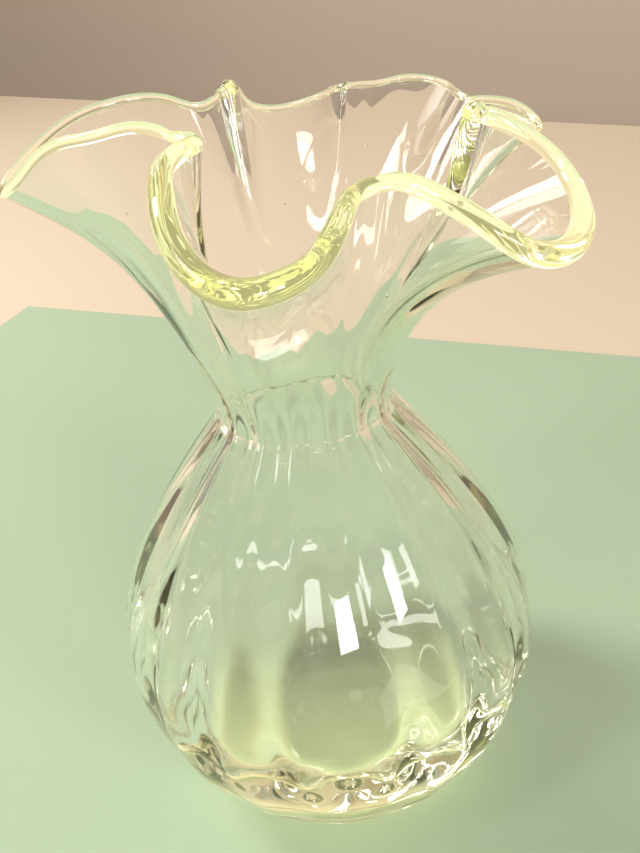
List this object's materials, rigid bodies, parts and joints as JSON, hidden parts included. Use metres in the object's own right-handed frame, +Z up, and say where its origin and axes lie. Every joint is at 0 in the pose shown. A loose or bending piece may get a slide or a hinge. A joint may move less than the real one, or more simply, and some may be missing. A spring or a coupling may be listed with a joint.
{
  "type": "ruffled uranium glass vase",
  "caption": "Small free-standing blown vase in pale yellow-green uranium glass: round optic-ribbed body, pinched neck and a flaring mouth with a ruffled, beaded rim.",
  "frame": {"origin": "middle of the flat foot, on the surface that the vase stands on", "axes": "+Z up along the body's axis, -Y to the front, where the widest view of the front petal is, +X to the right"},
  "size_m": [0.1136, 0.1154, 0.1706],
  "materials": {
    "base_glass": "polished, thick clear yellow-green uranium glass",
    "body_glass": "fire polished, with soft optic ribs",
    "neck_glass": "fire polished",
    "flare_glass": "fire polished, thin and clear",
    "rim_glass": "fire polished bead, deeper yellow"
  },
  "bodies": {
    "root": {"heavy_base": "base_glass", "ribbed_body": "body_glass", "neck": "neck_glass", "ruffled_flare": "flare_glass", "rim_bead": "rim_glass"}
  },
  "joints": []
}
